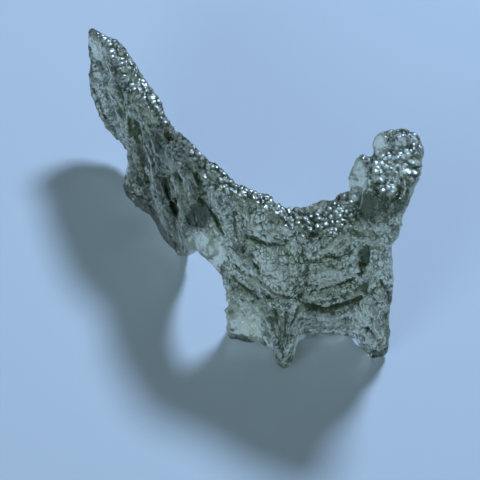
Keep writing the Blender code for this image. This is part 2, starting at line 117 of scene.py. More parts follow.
# What gloss takes from the painted shade of the cracks and from the bump, and what is left of them on hidden
# skin.
LINE_WEAR, BUMP_WEAR, HIDDEN_LINE, HIDDEN_BUMP = 0.8, 0.7, 0.7, 0.5

# Cups: scatter, spread of the bowl, what sets the lean of each size, its limit, and the steepest tread.
CUP_SCATTER, BOWL_SPREAD, LEAN_FALL, MOST_LEAN, LEAST_TREAD = 0.9, 1.3, 1.3, 0.28 * MM, 0.5
# How sharp the pits are, detail and roughness of the lumps, and what keeps the patterns apart.
PIT_SHARPNESS, LUMP_DETAIL, LUMP_ROUGHNESS = 3.4, 4.0, 0.6
BROAD_SHIFT, PIT_SHIFT, LUMP_SHIFT = 5.7, 7.3, 3.1


class Cut(Enum):
    """How a hand-set line shapes the skin on either side of it."""

    GROOVE = "groove"
    RIDGE = "ridge"
    LEDGE = "ledge"


@dataclass(frozen=True)
class Line:
    """One line of the drawing of the front skin, in millimetres."""

    width: float  # half width of the cut
    height: float  # how far it moves the skin
    points: tuple[float, ...]  # places of the line, across and up the drawing in turn
    cut: Cut = Cut.GROOVE  # how it shapes the skin. A ledge rises on the left of the line's direction.

    def profile(self, across: Array, side: Array) -> Array:
        """Shapes the skin near the line.

        Args:
            across: Distance of each place from the line.
            side: 1 on the left of the line, -1 on its right.

        Returns:
            How far each place moves outwards.
        """
        near = np.clip(1.0 - (across / self.width) ** 2, 0.0, 1.0) ** 2
        if self.cut is Cut.GROOVE:
            return -self.height * near
        if self.cut is Cut.RIDGE:
            return self.height * near
        top = np.exp(-across / (self.width * LEDGE_TOP))
        foot = -LEDGE_DROP * np.exp(-across / (self.width * LEDGE_FOOT))
        return self.height * np.where(side > 0, top, foot)


@dataclass(frozen=True)
class Drawing:
    """The oblique view from above in which the front skin is set out."""

    tilt: float = math.radians(52.0)  # angle at which it looks down
    zero: tuple[float, float] = (0.0778, -12.9682)  # its zero in the part's frame, in millimetres

    @property
    def up(self) -> Array:
        """Direction in space of the drawing's upward axis."""
        return np.array((0.0, math.sin(self.tilt), math.cos(self.tilt)))

    @property
    def out(self) -> Array:
        """Direction in space that points out of the drawing."""
        return np.array((0.0, -math.cos(self.tilt), math.sin(self.tilt)))

    def places(self, points: Array) -> Array:
        """Projects points of the part onto the drawing.

        Args:
            points: Points in millimetres.

        Returns:
            Distance across and up the drawing of each point.
        """
        own = points - np.array((*self.zero, 0.0))
        return np.stack((own[:, 0], own @ self.up), axis=1)


@dataclass(frozen=True)
class Stroke:
    """The way that the fibres run near a place of the drawing."""

    across: float  # place across the drawing
    up: float  # place up the drawing
    angle: float  # direction of the fibres, in degrees
    strength: float = 1.0  # how high they stand
    ridge: float = 0.2  # 1 where they stand up as thin ridges, 0 where thin cracks part them


@dataclass(frozen=True)
class Hollow:
    """An oval pit in the front skin, in millimetres of the drawing, or a dome where its depth is negative."""

    across: float  # place across the drawing
    up: float  # place up the drawing
    length: float  # half its length
    width: float  # half its width
    angle: float  # angle of its length, in degrees
    depth: float  # how deep it is, or, in the patches of painted shade and light, how much darker it paints the glass

    def profile(self, drawn: Array) -> Array:
        """Shapes the skin inside the pit.

        Args:
            drawn: Places of the skin in the drawing.

        Returns:
            How far each place moves outwards.
        """
        turn = math.radians(self.angle)
        own = drawn - np.array((self.across, self.up))
        along = (own @ np.array((math.cos(turn), math.sin(turn)))) / self.length
        aside = (own @ np.array((-math.sin(turn), math.cos(turn)))) / self.width
        return -self.depth * np.clip(1.0 - (along ** 2 + aside ** 2) ** HOLLOW_BEND, 0.0, 1.0)


@dataclass(frozen=True)
class Band:
    """A strip of the drawing in which the acid left glossy cups."""

    width: float  # half width of the strip
    size: float  # 0 for the small cups, 1 for the large ones
    depth: float  # 1 for full cups, 0 for smooth clear glass
    points: tuple[float, ...]  # places of its middle line, across and up in turn


# Cuts: half width, height, points and kind, where they are no groove.
LINES = tuple(Line(*row) for row in (
    (0.22, 0.31, (9.5, 6.1, 8.3, 5.35, 6.9, 4.95, 5.55, 4.85, 4.5, 5.05), Cut.LEDGE),
    (0.48, 0.57, (4.3, 4.7, 5.5, 4.4, 6.9, 4.45, 8.3, 4.8, 9.5, 5.4, 9.9, 6.1)),
    (0.2, 0.41, (4.7, 5.75, 5.6, 5.8, 6.2, 6, 7.5, 6.35, 8.7, 6.85, 9.5, 7.5)),
    (0.25, 0.43, (4.3, 9.3, 4.55, 8.5, 4.65, 7.4, 4.55, 6.4, 4.1, 5.4, 3.9, 4.9)),
    (0.17, 0.3, (3.75, 9.4, 3.95, 8.6, 4, 7.6, 3.75, 6.6, 3.3, 5.7)),
    (0.15, 0.22, (3, 9.5, 3.1, 8.4, 3.15, 7.4, 2.9, 6.3, 2.7, 5.4)),
    (0.14, 0.19, (0.4, 7.6, 1.3, 7.3, 2.3, 7.2, 3.3, 7.35, 4.3, 7.6)),
    (0.14, 0.16, (0.8, 6.4, 1.7, 6.25, 2.8, 6.4, 4.2, 6.6)),
    (0.23, 0.41, (-0.1, 8.3, 0.5, 7.2, 1.2, 6.2, 1.7, 5.6, 2.6, 5.3, 3.6, 5.15)),
    (0.16, 0.23, (4, 9.55, 3.2, 9.75, 2, 9.75, 0.9, 9.65, 0.2, 9.35, -0.1, 8.6), Cut.LEDGE),
    (0.25, 0.43, (-0.9, 10.7, 0.2, 10.35, 1.1, 9.95, 2.4, 9.95, 3, 10.2, 3.4, 10.9)),
    (0.16, 0.21, (4.6, 4.6, 3.6, 4.9, 2.4, 5.05, 1.3, 4.95, 0.9, 4.4), Cut.LEDGE),
    (0.18, 0.32, (4.7, 8.5, 5.6, 8.65, 6.7, 9, 7.9, 9.5, 8.8, 9.9)),
    (0.18, 0.3, (5, 9, 5.7, 9.5, 6.3, 9.9, 6.9, 10.4)),
    (0.15, 0.24, (6.2, 9, 6.9, 9.5, 7.5, 10.1, 7.8, 10.4)),
    (0.15, 0.24, (4.6, 10, 5.2, 10.2, 5.7, 10.6)),
    (0.14, 0.18, (8.6, 9.2, 7.4, 8.7, 6.2, 8.4, 5, 8.3), Cut.LEDGE),
    (0.14, 0.19, (5.3, 7.9, 5.35, 7, 5.7, 6)),
    (0.14, 0.19, (7.6, 8.6, 7.5, 7.6, 7.4, 6.5)),
    (0.14, 0.26, (9.05, 9, 9.1, 8.2, 9.2, 7.6, 9.9, 7.3, 10.2, 7.6), Cut.RIDGE),
    (0.16, 0.23, (9.2, 10.5, 10, 10.55, 10.6, 10.35), Cut.RIDGE),
    (0.18, 0.3, (11.2, 6.8, 11.9, 5.6, 12.1, 4.3, 11.9, 3.6)),
    (0.18, 0.3, (9.4, 5, 10.3, 5.7, 11.1, 6.4)),
    (0.18, 0.32, (9.6, 2.5, 10.4, 2.3, 10.8, 1.6, 11.2, 0.9)),
    (0.16, 0.24, (9.9, 3.9, 10.5, 3.2, 10.4, 2.4)),
    (0.18, 0.3, (-2.2, 7.2, -1.4, 6.4, -0.4, 5.6, 0.5, 4.9, 1, 4.4)),
    (0.18, 0.27, (-2, 8.2, -1.1, 7.5, 0.2, 6.9, 0.9, 6.2)),
    (0.16, 0.24, (0.7, 4.2, 1.2, 3.2, 1.9, 2, 2.2, 0.6)),
    (0.16, 0.24, (1.7, 4.6, 1.9, 3.4, 2.2, 2, 2.4, 0.4)),
    (0.16, 0.24, (2.8, 4.7, 2.8, 3.4, 2.7, 2, 2.5, 0.4)),
    (0.16, 0.24, (3.9, 4.4, 3.5, 3.2, 3.1, 2, 2.8, 0.8)),
    (0.23, 0.41, (-5, 14, -4.4, 13.3, -3.8, 12.7, -3.3, 11.9, -2.8, 10.9)),
    (0.13, 0.26, (-7.5, 16.5, -6.8, 15.4, -6.1, 14.3, -5.3, 13.9), Cut.RIDGE),
    (0.13, 0.26, (-7.2, 16, -6.5, 14.6, -5.9, 13.6), Cut.RIDGE),
    (0.13, 0.23, (-6.6, 17.2, -5.8, 16.6, -5.3, 15.6, -5.1, 14.7), Cut.RIDGE),
    (0.12, 0.23, (-11.2, 23.5, -11, 22.4, -10.8, 21.6), Cut.RIDGE),
    (0.12, 0.23, (-10.1, 22.6, -9.8, 21.6, -9.4, 20.9), Cut.RIDGE),
    (0.12, 0.23, (-9.9, 22.7, -9.3, 21.9, -9, 21.1, -8.8, 20.4), Cut.RIDGE),
    (0.12, 0.21, (-12.2, 22.9, -11.9, 21.8, -11.6, 20.6, -11.3, 19.6), Cut.RIDGE),
    (0.25, 0.32, (-12.3, 24.5, -12, 23.3, -11.6, 22.2, -11.3, 21, -11.2, 19.8)),
    (0.28, 0.35, (-10.8, 21.2, -10.8, 19.8, -10.5, 18.4, -10, 17, -9.8, 15.6)),
    (0.18, 0.3, (-1.9, 12.8, -1.8, 11.8, -1.7, 10.8, -1.4, 10)),
    (0.14, 0.22, (-0.3, 13.2, -0.4, 12.2, -0.2, 11)),
    (0.14, 0.22, (0.8, 13, 0.7, 12, 0.9, 10.8)),
    (0.14, 0.22, (1.9, 12.4, 1.8, 11.4, 1.9, 10.6)),
))

# Pits, and domes where the depth is negative: place, half length, half width, angle and depth.
HOLLOWS = tuple(Hollow(*row) for row in (
    (-5.05, 12.5, 1.25, 1, 60, 0.45), (-7.9, 15, 1.1, 0.32, -72, 0.55), (-7.25, 13.2, 0.9, 0.3, -68, 0.5),
    (-6.75, 16.2, 0.7, 0.32, -75, 0.5), (-5.2, 16, 0.55, 0.26, -75, 0.4), (-4.9, 17, 0.5, 0.26, -65, 0.35),
    (-7.85, 19.4, 0.7, 0.5, 80, 0.34), (-8.7, 19.3, 0.8, 0.3, -70, 0.4), (-9.4, 17.6, 0.9, 0.3, -75, 0.35),
    (-12.6, 25.7, 0.7, 0.4, -75, 0.3), (-12.2, 22, 0.8, 0.3, -70, 0.3), (0.15, 7.9, 0.45, 0.28, -60, 0.4),
    (9.65, 8.7, 1.3, 0.6, 80, 0.62), (5.2, 10.9, 0.55, 0.38, 10, 0.4), (-1.1, 9.3, 0.45, 0.25, -50, 0.3),
    (-0.3, 8.9, 0.35, 0.22, -40, 0.28), (10.5, 15, 0.9, 0.35, 85, 0.35), (11.6, 13.6, 0.8, 0.3, 80, 0.3),
    (12.6, 14.6, 0.8, 0.3, 78, 0.3), (2.1, 7.6, 2.2, 2, 90, -0.35), (1.05, 11.8, 2.1, 1.55, 0, -0.25),
    (6.8, 7.3, 2, 1.1, 8, -0.25), (6.6, 9.6, 1.9, 0.8, 25, -0.15), (6.6, 5.2, 2.4, 0.5, 5, -0.15),
    (9.95, 4, 1.7, 0.75, 82, -0.22), (11.3, 5.7, 1.3, 0.6, -65, -0.2), (11, 1.9, 1.2, 0.55, -60, -0.15),
))

# Patches of painted shade, where faces lie in shade or in recesses, and of painted light where the depth is
# negative, where light glows through the glass.
SHADE_AND_LIGHT_PATCHES = tuple(Hollow(*row) for row in (
    (7.2, 4.5, 3.1, 1.1, 8, 0.6), (9.7, 6, 1.2, 0.6, 60, 0.3), (3.6, 4.9, 1.2, 0.5, -10, 0.35),
    (9.8, 8.9, 1.2, 0.6, 84, 0.3), (4.3, 6.9, 2.4, 0.5, 86, 0.25), (7.2, 8.9, 2.4, 0.6, 18, 0.18),
    (6, 10.2, 1.8, 0.8, 30, 0.12), (-1.2, 9.6, 1.5, 1, -50, 0.3), (-5, 12.4, 1.5, 1.2, 60, 0.45),
    (-7.5, 14.2, 2.6, 0.6, -70, 0.4), (-5.6, 15.6, 2.6, 0.7, -62, 0.25), (-9.6, 19, 3.6, 1.2, -72, 0.22),
    (-12.2, 24.6, 2.2, 1, -75, 0.3), (-10.4, 16.6, 2.6, 1, -78, 0.12), (10.9, 13.2, 2.7, 1.6, 15, 0.62),
    (9.3, 13.4, 1.6, 1, 50, 0.25), (1.2, 3.6, 1.6, 0.8, -50, 0.2), (-9.7, 12.2, 3.9, 1, -50, -0.42),
    (-0.9, 3.4, 1.9, 1.4, 0, -0.4),
))

# Strips of cups: half width, size, depth and points.
BANDS = tuple(Band(*row) for row in (
    (0.8, 0, 1, (-12.9, 28.2, -12.4, 26.6, -12, 24.9, -11.1, 24, -9.3, 23.2, -8.5, 22)),
    (0.55, 0, 1, (-8.3, 21.2, -7.5, 20.8, -6.9, 19.8, -6.4, 19.2)),
    (0.75, 0, 1, (-7.8, 18.9, -7, 18, -6.6, 17.6)),
    (1, 0, 1, (-6.2, 18.9, -4.8, 17.8, -3.4, 16.6, -2, 15.5, -0.6, 14.8, 0.8, 14.3, 2.4, 13.4)),
    (0.6, 0, 1, (-4.2, 15.2, -3.2, 15, -2.4, 14.4)),
    (1.15, 0, 1, (2.4, 13.3, 3.6, 12.2, 5.2, 11.9, 7, 12, 8.6, 12.4)),
    (0.6, 0, 1, (8, 13.6, 9, 14.6, 9.6, 15.4)),
    (0.45, 1, 0.6, (9.4, 10.7, 10.3, 10.5)),
    (1.2, 1, 1, (10.9, 16.6, 10.9, 15.2, 11.7, 14.7)),
    (1, 1, 1, (13.2, 16.8, 14.3, 16.4)),
    (1, 0, 1, (12.1, 17.9, 13.4, 18.6)),
    (0.8, 0, 0, (10.9, 19.6, 11.3, 18.6)),
    (0.9, 0, 0, (8.9, 16.8, 9.2, 15.6)),
    (0.8, 0, 0.7, (-5.6, 11.1, -4.6, 10.8, -3.6, 10.5)),
    (1.4, 1, 0, (-5, 9.9, -4, 9.2)),
    (0.5, 0, 0.6, (10.5, 12.1, 12.1, 13.3)),
    (0.4, 0, 0.5, (8.6, 13.2, 9, 14)),
    (0.7, 0, 0.8, (-1.9, 10.4, -1, 9.4, -0.4, 8.6)),
    (0.5, 0, 0.8, (4.6, 2.2, 6, 2.5, 7.6, 2.7, 8.6, 2.4)),
    (0.9, 0, 0, (-2.2, 2.6, -1.2, 2.2, -0.2, 2)),
    (0.6, 0, 0.2, (-14.6, 28.4, -14.2, 27.2)),
))

# Run of the fibres: place, angle, strength and ridge.
STROKES = tuple(Stroke(*row) for row in (
    (-14, 26.5, -67, 0.8, 0.9), (-12.5, 24, -72, 1, 1), (-11, 21, -78, 1, 1), (-9.5, 18.5, -76, 1, 1),
    (-9, 15.5, -72, 1, 0.9), (-7.5, 15.5, -64, 1, 1), (-7.8, 12.5, -70, 0.8, 0.7), (-5.5, 14.5, -60, 1, 1),
    (-5, 12.4, -50, 1, 0.8), (-4, 13, -56, 1, 0.8), (-2.8, 10.6, -74, 1, 0.7), (-2.2, 12.6, -66, 1, 0.5),
    (-0.6, 12.3, -76, 1, 0.2), (1, 12, -88, 1, 0.1), (2.6, 11.4, 80, 0.9, 0.1), (-4.6, 9.6, -42, 0.3, 0.3),
    (-1.8, 8.6, -38, 0.8, 0.4), (-0.4, 7, -32, 0.9, 0.3), (-1.8, 5.2, -50, 0.8, 0.4),
    (-1, 2.8, -60, 0.6, 0.5), (1.2, 8.6, -70, 0.9, 0), (2.2, 8.4, -84, 0.9, 0), (3.4, 8.2, -88, 0.9, 0),
    (1.6, 6.8, -20, 0.9, 0), (3, 6.2, 74, 0.9, 0), (5.8, 7.6, 88, 0.9, 0), (7.4, 7.9, 80, 0.9, 0),
    (6.6, 6.7, 10, 0.8, 0.1), (5.8, 10, 40, 0.9, 0.2), (7.4, 10, 48, 0.9, 0.2), (8.7, 10.8, 20, 0.8, 0.4),
    (5.6, 5.3, 80, 0.8, 0.1), (8, 5.6, 70, 0.8, 0.1), (7, 3.6, 10, 0.8, 0.4), (0.6, 3.4, -56, 1, 0.5),
    (1.6, 3, -72, 1, 0.5), (2.6, 2.6, -88, 1, 0.5), (3.9, 3.2, 62, 1, 0.5), (9.8, 5, 76, 0.8, 0.3),
    (11.2, 6.5, -60, 0.7, 0.3), (11.2, 8.8, -80, 0.6, 0.3), (11.2, 2.6, -70, 0.9, 0.4),
    (10.4, 13.8, 84, 0.9, 0.8), (12.4, 14, 80, 0.9, 0.8),
))

def placed(label: str, data: bpy.types.ID) -> Object:
    """Puts a mesh, a lamp or a camera into the scene.

    Args:
        label: Name of the object.
        data: What it holds.

    Returns:
        The object.
    """
    made = bpy.data.objects.new(label, data)
    bpy.context.scene.collection.objects.link(made)
    return made


def meshed(label: str, shape: bmesh.types.BMesh) -> Object:
    """Puts a shape into the scene as a mesh.

    Args:
        label: Name of the object.
        shape: Its shape, which is freed.

    Returns:
        The object.
    """
    data = bpy.data.meshes.new(label)
    shape.to_mesh(data)
    shape.free()
    return placed(label, data)


def read(source: bpy.types.bpy_prop_collection, label: str) -> Array:
    """Reads a vector of each point of a mesh.

    Args:
        source: The mesh's points or normals.
        label: Name of the vector.

    Returns:
        One row for each point.
    """
    values = np.empty(len(source) * 3, np.float32)
    source.foreach_get(label, values)
    return values.reshape(-1, 3)


def offset(drawn: Array, start: Array, end: Array) -> Array:
    """Measures places of the drawing from a straight stretch of a line.

    Args:
        drawn: The places.
        start: Start of the stretch.
        end: End of the stretch.

    Returns:
        The way to each place from the nearest point of the stretch.
    """
    along = end - start
    t = np.clip(((drawn - start) @ along) / (along @ along), 0.0, 1.0)
    return drawn - start - t[:, None] * along


class Wiring:
    """Adds nodes to one tree and joins them."""

    def __init__(self, tree: bpy.types.NodeTree) -> None:
        """Starts on a tree."""
        self.nodes = tree.nodes
        self.link = tree.links.new

    def add(self, kind: str, inputs: dict[str | int, Value], **settings: object) -> bpy.types.Node:
        """Adds a node.

        Args:
            kind: Its type.
            inputs: Sockets to link, or constants to set, by the name or number of the input.
            settings: Values of its properties.

        Returns:
            The node.
        """
        node = self.nodes.new(kind)
        for label, value in settings.items():
            setattr(node, label, value)
        for label, value in inputs.items():
            if isinstance(value, Socket):
                self.link(value, node.inputs[label])
            else:
                node.inputs[label].default_value = value
        return node

    def scalar(self, operation: str, *values: Value) -> Socket:
        """Adds a Math node over the values and returns its output."""
        return self.add("ShaderNodeMath", dict(enumerate(values)), operation=operation).outputs[0]

    def plus(self, first: Value, second: Value) -> Socket:
        """Adds two numbers."""
        return self.scalar("ADD", first, second)

    def minus(self, first: Value, second: Value) -> Socket:
        """Takes the second number from the first."""
        return self.scalar("SUBTRACT", first, second)

    def times(self, first: Value, second: Value) -> Socket:
        """Multiplies two numbers."""
        return self.scalar("MULTIPLY", first, second)

    def lift(self, share: Value, least: float) -> Socket:
        """Squeezes a share, so that it runs from a least value to 1."""
        return self.scalar("MULTIPLY_ADD", share, 1.0 - least, least)

    def wear(self, share: Value, most: float) -> Socket:
        """Returns 1 where a share is 0, and less the more of it there is."""
        return self.scalar("MULTIPLY_ADD", share, -most, 1.0)

    def blend(self, share: Value, first: Value, second: Value) -> Socket:
        """Returns the first value where the share is 0 and the second where it is 1."""
        return self.plus(self.times(self.minus(1.0, share), first), self.times(share, second))

    def rise(self, value: Socket, low: float, high: float) -> Socket:
        """Returns 0 below one value, 1 above another and a soft step between them."""
        step = {"Value": value, "From Min": low, "From Max": high}
        return self.add("ShaderNodeMapRange", step, interpolation_type="SMOOTHSTEP").outputs["Result"]

    def valley(self, value: Socket, width: float) -> Socket:
        """Returns 0 where a noise passes through its middle, and 1 away from there."""
        return self.rise(self.scalar("ABSOLUTE", self.minus(value, 0.5)), 0.0, width)

    def vector(self, operation: str, *values: Value) -> Socket:
        """Adds a Vector Math node over the values.

        Args:
            operation: What it does.
            values: What it does it to.

        Returns:
            Its result, which is a number for a dot product.
        """
        slots = (0, "Scale" if operation == "SCALE" else 1, 2)
        node = self.add("ShaderNodeVectorMath", dict(zip(slots, values)), operation=operation)
        return node.outputs["Value" if operation == "DOT_PRODUCT" else "Vector"]

    def noise(self, place: Socket, scale: Value, detail: float = 0.0) -> Socket:
        """Adds even noise from 0 to 1."""
        inputs = {"Vector": place, "Scale": scale, "Detail": detail}
        return self.add("ShaderNodeTexNoise", inputs).outputs["Fac"]

    def scatter(self, place: Socket, feature: str, randomness: float = 1.0) -> bpy.types.Node:
        """Adds a pattern of scattered cells, one unit apart."""
        inputs = {"Vector": place, "Scale": 1.0, "Randomness": randomness}
        return self.add("ShaderNodeTexVoronoi", inputs, feature=feature)

    def stored(self, label: str) -> Socket:
        """Reads a number stored on the skin, in a material."""
        return self.add("ShaderNodeAttribute", {}, attribute_name=label).outputs["Fac"]

    def named(self, label: str) -> Socket:
        """Reads a number stored on the skin, in Geometry Nodes."""
        kind = "GeometryNodeInputNamedAttribute"
        return self.add(kind, {"Name": label}, data_type="FLOAT").outputs["Attribute"]


@dataclass(frozen=True)
class GlassFinish:
    """Colour and polish of the glass."""

    clear: Colour = (0.98, 0.98, 0.87, 1.0)  # tint of clear glass, where no shade is painted
    deep: Colour = (0.030, 0.042, 0.020, 1.0)  # painted shade: tint of the darkest grooves, pits, cracks and shaded patches
    cupped: Colour = (0.08, 0.10, 0.08, 1.0)  # painted shade: further tint between the cups, darker towards their edges
    transmission: float = 0.86  # share of light that enters the glass; its etched skin scatters the rest
    index: float = 1.49  # refractive index
    absorb: Colour = (0.70, 0.71, 0.48, 1.0)  # colour that thick glass takes on
    absorb_density: float = 170.0  # strength of that colour, per metre
    etched: float = 0.19  # roughness of the etched faces
    polished: float = 0.22  # roughness of the glossy cups
    window: float = 0.14  # roughness of the smooth clear places
    behind: float = 0.12  # roughness of the skin that faces away from the drawing
    rim: float = 0.05  # roughness added along the thin edges
    bump: float = 0.06 * MM  # depth of the finest relief, in metres
    crack_spacing: float = 0.46 * MM  # distance between the cracks that follow the fibres
    crack_length: float = 1.5 * MM  # their length
    crack_edge: float = 0.050  # their width, in the height of their noise
    cross_spacing: float = 0.60 * MM  # distance between the cracks across the fibres
    cross_length: float = 1.1 * MM  # their length
    cross_edge: float = 0.040  # their width, in the height of their noise
    samples: int = 5  # points over which noise is drawn out into a crack
    up: Triple = (0.0, 0.788, 0.616)  # direction that stands for up in the drawing
    cell_size: Triple = (0.42 * MM, 0.74 * MM, 0.9 * MM)  # width, height and depth of the cracked blocks
    cell_sway: float = 0.5 * MM  # how far their cracks sway

    def streaks(self) -> bpy.types.NodeTree:
        """Builds the node group that draws noise out along a direction.

        Returns:
            A shader node group that averages noise over points set along the direction.
        """
        made = bpy.data.node_groups.new("streaks", "ShaderNodeTree")
        face = made.interface
        for label, kind in {"Place": "Vector", "Way": "Vector", "Scale": "Float", "Length": "Float"}.items():
            face.new_socket(label, in_out="INPUT", socket_type="NodeSocket" + kind)
        face.new_socket("Value", in_out="OUTPUT", socket_type="NodeSocketFloat")
        net = Wiring(made)
        given = net.nodes.new("NodeGroupInput").outputs
        long_way = net.vector("SCALE", given["Way"], given["Length"])
        total = 0.0
        for step in range(self.samples):
            shift = (step / (self.samples - 1) - 0.5,) * 3
            spot = net.vector("MULTIPLY_ADD", long_way, shift, given["Place"])
            noise = net.noise(spot, given["Scale"])
            total = net.scalar("MULTIPLY_ADD", noise, 1.0 / self.samples, total)
        net.add("NodeGroupOutput", {"Value": total})
        return made

    def cells(self, net: Wiring, place: Socket) -> Socket:
        """Adds the pattern of small cracked blocks.

        Args:
            net: Where the nodes go.
            place: Place on the glass.

        Returns:
            0 in their cracks and 1 on them.
        """
        wave = net.add("ShaderNodeTexNoise", {"Vector": place, "Scale": SWAY_SCALE, "Detail": SWAY_DETAIL})
        bent = net.vector("MULTIPLY_ADD", wave.outputs["Color"], (self.cell_sway,) * 3, place)
        turn = {"Vector": bent, "Angle": math.atan2(-self.up[2], self.up[1])}
        turned = net.add("ShaderNodeVectorRotate", turn, rotation_type="X_AXIS").outputs[0]
        sized = net.vector("DIVIDE", turned, self.cell_size)
        block = net.scatter(sized, "DISTANCE_TO_EDGE", CELL_SCATTER)
        return net.rise(block.outputs["Distance"], *CELL_EDGE)

    def wrinkles(self, net: Wiring, place: Socket) -> Socket:
        """Adds the fine cracks: blocks on the plates, and lines drawn out along the fibres elsewhere.

        Args:
            net: Where the nodes go.
            place: Place on the glass.

        Returns:
            0 in a crack and about 1 away from it.
        """
        group = self.streaks()

        def streak(way: Socket, spacing: float, length: float) -> Socket:
            """Adds noise drawn out along a direction."""
            inputs = {"Place": place, "Way": way, "Scale": 1.0 / spacing, "Length": length}
            return net.add("ShaderNodeGroup", inputs, node_tree=group).outputs["Value"]

        doubled = net.scalar("ARCTAN2", net.stored("turn_sin"), net.stored("turn_cos"))
        angle = net.times(doubled, 0.5)
        flat = net.vector("SCALE", ACROSS, net.scalar("COSINE", angle))
        tall = net.vector("SCALE", self.up, net.scalar("SINE", angle))
        normal = net.nodes.new("ShaderNodeNewGeometry").outputs["Normal"]
        fibre = net.vector("ADD", flat, tall)
        side = net.vector("NORMALIZE", net.vector("CROSS_PRODUCT", normal, fibre))
        way = net.vector("CROSS_PRODUCT", side, normal)
        along = net.valley(streak(way, self.crack_spacing, self.crack_length), self.crack_edge)
        crossing = net.valley(streak(side, self.cross_spacing, self.cross_length), self.cross_edge)
        patches = net.rise(net.noise(place, BROKEN_SCALE, 1.0), *BROKEN)
        broken = net.times(patches, net.minus(1.0, crossing))
        faint = net.rise(net.noise(place, FAINT_SCALE, 1.0), *FAINT)
        crack = net.minus(1.0, self.cells(net, place))
        cell = net.minus(1.0, net.times(crack, net.lift(faint, FAINTEST)))
        cell = net.times(cell, net.lift(along, CELL_ALONG))
        line = net.times(along, net.minus(1.0, broken))
        ridged = net.blend(CRACK_SHARE, net.minus(RIDGE_LEVEL, along), line)
        return net.blend(net.rise(net.stored("ridge"), *RIDGED), cell, ridged)

    def material(self) -> bpy.types.Material:
        """Builds the glass.

        Returns:
            A see-through material with fine wrinkles, with painted shade in its grooves, cracks and between
            its cups, and glossy cups.
        """
        made = bpy.data.materials.new(GLASS_SLOT + "_etched")
        made.use_nodes = True
        net = Wiring(made.node_tree)
        shader = net.nodes["Principled BSDF"].inputs
        shader["IOR"].default_value = self.index
        shader["Transmission Weight"].default_value = self.transmission
        shader["Metallic"].default_value = 0.0
        place = net.nodes.new("ShaderNodeTexCoord").outputs["Object"]
        cup, polish, shown = (net.stored(label) for label in ("cup", "polish", "shown"))
        wrinkle = self.wrinkles(net, place)
        dust = net.noise(place, DUST_SCALE, DUST_DETAIL)

        # Painted shade: the fine cracks are painted darker, where shade falls in them, on top of the painted
        # shade read from the skin.
        lines = net.times(net.minus(wrinkle, LINE_LEVEL), net.wear(polish, LINE_WEAR))
        lines = net.times(lines, net.lift(shown, HIDDEN_LINE))
        shade = net.plus(net.stored("relief"), net.times(lines, CRACK_PAINTED_SHADE))
        shade = net.plus(shade, net.times(net.minus(dust, 0.5), DUST))
        # The tint runs from painted shade in the grooves and cracks to clear glass.
        tint = net.add("ShaderNodeValToRGB", {"Fac": shade})
        ends = zip(tint.color_ramp.elements, TINT, (self.deep, self.clear))
        for end, position, colour in ends:
            end.position = position
            end.color = colour
        # Painted shade between the cups, darker towards their edges.
        crease = net.times(cup, net.rise(net.stored("crease"), *CREASE))
        mix = {"Factor": crease, MIX_FIRST: tint.outputs["Color"], MIX_SECOND: self.cupped}
        dark = net.add("ShaderNodeMix", mix, data_type="RGBA", blend_type="MULTIPLY")
        net.link(dark.outputs[2], shader["Base Color"])

        gloss = net.blend(polish, self.etched, net.blend(cup, self.window, self.polished))
        gloss = net.blend(shown, self.behind, gloss)
        gloss = net.scalar("MULTIPLY_ADD", net.stored("rim"), self.rim, gloss)
        net.link(gloss, shader["Roughness"])

        skin = net.plus(wrinkle, net.times(dust, DUST))
        skin = net.times(skin, net.wear(polish, BUMP_WEAR))
        skin = net.times(skin, net.minus(1.0, cup))
        height = net.times(skin, net.lift(shown, HIDDEN_BUMP))
        bump = net.add("ShaderNodeBump", {"Strength": 1.0, "Distance": self.bump, "Height": height})
        net.link(bump.outputs["Normal"], shader["Normal"])

        volume = {"Color": self.absorb, "Density": self.absorb_density}
        absorb = net.add("ShaderNodeVolumeAbsorption", volume)
        net.link(absorb.outputs["Volume"], net.nodes["Material Output"].inputs["Volume"])
        return made


